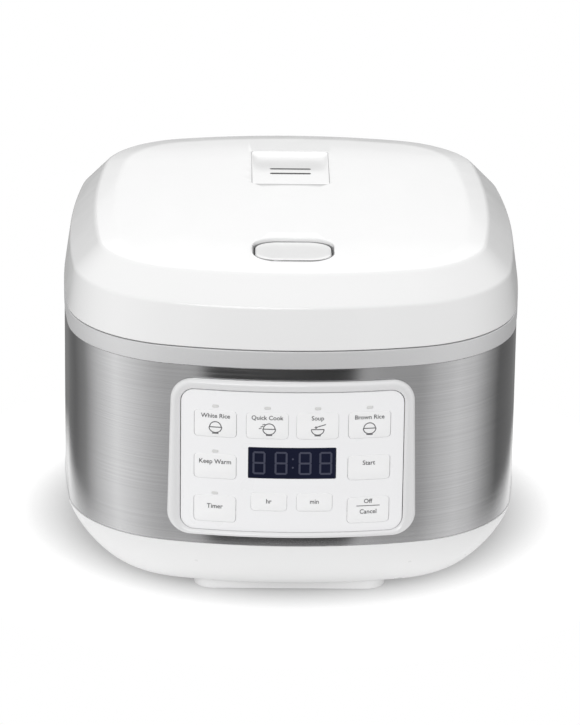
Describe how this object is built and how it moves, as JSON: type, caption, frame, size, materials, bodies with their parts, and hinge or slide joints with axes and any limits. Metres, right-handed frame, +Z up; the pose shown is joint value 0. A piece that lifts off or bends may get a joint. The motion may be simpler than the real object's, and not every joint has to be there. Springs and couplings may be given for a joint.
{
  "type": "rice cooker",
  "caption": "Rounded-square electric rice cooker: white hinged lid with open button and steam vent, steel body wrap, front key panel with display, removable inner pot.",
  "frame": {"origin": "on the floor under the middle of the object's bounding box", "axes": "+Z up, -Y towards the control panel, +Y towards the hinge and power inlet, +X to the right seen from the front"},
  "size_m": [0.27, 0.3364, 0.2026],
  "materials": {
    "white_plastic": "gloss white moulded plastic",
    "lid_plastic": "high-gloss white moulded plastic",
    "wrap_steel": "brushed stainless steel, grain around the body",
    "ring_silver": "satin silver paint on plastic",
    "bezel_plastic": "gloss light grey-white plastic",
    "panel_white": "bright white panel film with grey printed legends",
    "key_white": "satin white plastic",
    "display_dark": "dark smoked window",
    "module_black": "black potted display module",
    "lens_clear": "frosted clear plastic",
    "trim_chrome": "bright chrome plating",
    "inlet_black": "matte black plastic",
    "pin_brass": "plated brass",
    "sheet_steel": "plain sheet steel",
    "spring_steel": "spring steel wire",
    "screw_steel": "zinc-plated steel",
    "cast_alu": "die-cast aluminium",
    "element_grey": "oxidised heating tube",
    "mica_band": "mica band",
    "ceramic": "off-white ceramic",
    "pot_dark": "dark grey non-stick coating on aluminium",
    "lid_alu": "satin anodised aluminium",
    "silicone": "translucent white silicone",
    "foot_rubber": "dark grey rubber",
    "board_green": "green circuit board",
    "parts_dark": "moulded electronic parts"
  },
  "bodies": {
    "body": {"bottom_case": "white_plastic", "foot_plate": "white_plastic", "rubber_feet": "foot_rubber", "bottom_screws": "screw_steel", "steel_wrap": "wrap_steel", "top_ring": "ring_silver", "rear_housing": "white_plastic", "power_inlet": "inlet_black", "inlet_pins": "pin_brass", "well_sleeve": "sheet_steel", "band_heater": "mica_band", "heater_plate": "cast_alu", "heating_element": "element_grey", "heater_posts": "ceramic", "thermal_fuse": "ceramic", "sensor_guide": "sheet_steel", "sensor_spring": "spring_steel", "inner_pot": "pot_dark", "panel_bezel": "bezel_plastic", "panel_face": "panel_white", "display_window": "display_dark", "display_module": "module_black", "indicator_lenses": "lens_clear", "control_board": "board_green", "board_parts": "parts_dark", "tact_switches": "parts_dark", "board_carrier": "white_plastic", "power_board": "board_green", "power_parts": "parts_dark", "latch_striker": "sheet_steel", "hinge_bracket": "sheet_steel", "hinge_cover": "white_plastic", "hinge_pin": "screw_steel", "hinge_spring": "spring_steel", "bracket_screws": "screw_steel"},
    "lid": {"lid_cover": "lid_plastic", "lid_frame": "white_plastic", "lid_screws": "screw_steel", "inner_lid": "lid_alu", "inner_lid_seal": "silicone", "inner_lid_knob": "silicone", "button_trim": "trim_chrome", "button_spring": "spring_steel", "latch_pin": "screw_steel", "vent_seal": "silicone"},
    "button": {"open_button": "lid_plastic"},
    "latch": {"lid_latch": "white_plastic"},
    "vent": {"vent_cap": "lid_plastic", "vent_cap_base": "white_plastic"},
    "sensor": {"sensor_cap": "lid_alu"},
    "key_rice_body": {"key_rice": "key_white"},
    "key_quick_body": {"key_quick": "key_white"},
    "key_soup_body": {"key_soup": "key_white"},
    "key_brown_body": {"key_brown": "key_white"},
    "key_warm_body": {"key_warm": "key_white"},
    "key_start_body": {"key_start": "key_white"},
    "key_timer_body": {"key_timer": "key_white"},
    "key_off_body": {"key_off": "key_white"},
    "key_hour_body": {"key_hour": "key_white"},
    "key_minute_body": {"key_minute": "key_white"}
  },
  "joints": [
    {"name": "lid_hinge", "type": "hinge", "parent": "body", "child": "lid", "pos_m": [0, 0.133, 0.169], "axis": [-1, 0, 0], "range_deg": [0, 85]},
    {"name": "open_press", "type": "slide", "parent": "lid", "child": "button", "axis": [0, 0, -1], "range_m": [0, 0.0033], "stiffness_N_per_m": 900, "springref_m": -0.002, "deforming": ["button_spring"]},
    {"name": "latch_turn", "type": "hinge", "parent": "lid", "child": "latch", "pos_m": [0, -0.143, 0.175], "axis": [-1, 0, 0], "range_deg": [0, 9]},
    {"name": "vent_lift", "type": "slide", "parent": "lid", "child": "vent", "axis": [0, 0, 1], "range_m": [0, 0.03]},
    {"name": "sensor_press", "type": "slide", "parent": "body", "child": "sensor", "axis": [0, 0, -1], "range_m": [0, 0.003], "stiffness_N_per_m": 400, "springref_m": -0.004, "deforming": ["sensor_spring"]},
    {"name": "press_rice", "type": "slide", "parent": "body", "child": "key_rice_body", "axis": [0.1483, 0.9889, 0], "range_m": [0, 0.0008], "stiffness_N_per_m": 1500, "springref_m": -0.0005},
    {"name": "press_quick", "type": "slide", "parent": "body", "child": "key_quick_body", "axis": [0.0483, 0.9988, 0], "range_m": [0, 0.0008], "stiffness_N_per_m": 1500, "springref_m": -0.0005},
    {"name": "press_soup", "type": "slide", "parent": "body", "child": "key_soup_body", "axis": [-0.0483, 0.9988, 0], "range_m": [0, 0.0008], "stiffness_N_per_m": 1500, "springref_m": -0.0005},
    {"name": "press_brown", "type": "slide", "parent": "body", "child": "key_brown_body", "axis": [-0.1483, 0.9889, 0], "range_m": [0, 0.0008], "stiffness_N_per_m": 1500, "springref_m": -0.0005},
    {"name": "press_warm", "type": "slide", "parent": "body", "child": "key_warm_body", "axis": [0.1483, 0.9889, 0], "range_m": [0, 0.0008], "stiffness_N_per_m": 1500, "springref_m": -0.0005},
    {"name": "press_start", "type": "slide", "parent": "body", "child": "key_start_body", "axis": [-0.1483, 0.9889, 0], "range_m": [0, 0.0008], "stiffness_N_per_m": 1500, "springref_m": -0.0005},
    {"name": "press_timer", "type": "slide", "parent": "body", "child": "key_timer_body", "axis": [0.1483, 0.9889, 0], "range_m": [0, 0.0008], "stiffness_N_per_m": 1500, "springref_m": -0.0005},
    {"name": "press_off", "type": "slide", "parent": "body", "child": "key_off_body", "axis": [-0.1483, 0.9889, 0], "range_m": [0, 0.0008], "stiffness_N_per_m": 1500, "springref_m": -0.0005},
    {"name": "press_hour", "type": "slide", "parent": "body", "child": "key_hour_body", "axis": [0.0439, 0.999, 0], "range_m": [0, 0.0008], "stiffness_N_per_m": 1500, "springref_m": -0.0005},
    {"name": "press_minute", "type": "slide", "parent": "body", "child": "key_minute_body", "axis": [-0.0439, 0.999, 0], "range_m": [0, 0.0008], "stiffness_N_per_m": 1500, "springref_m": -0.0005}
  ],
  "couplings": [
    {"joint": "latch_turn", "follows": "open_press", "rad_per_m": 47.6}
  ]
}
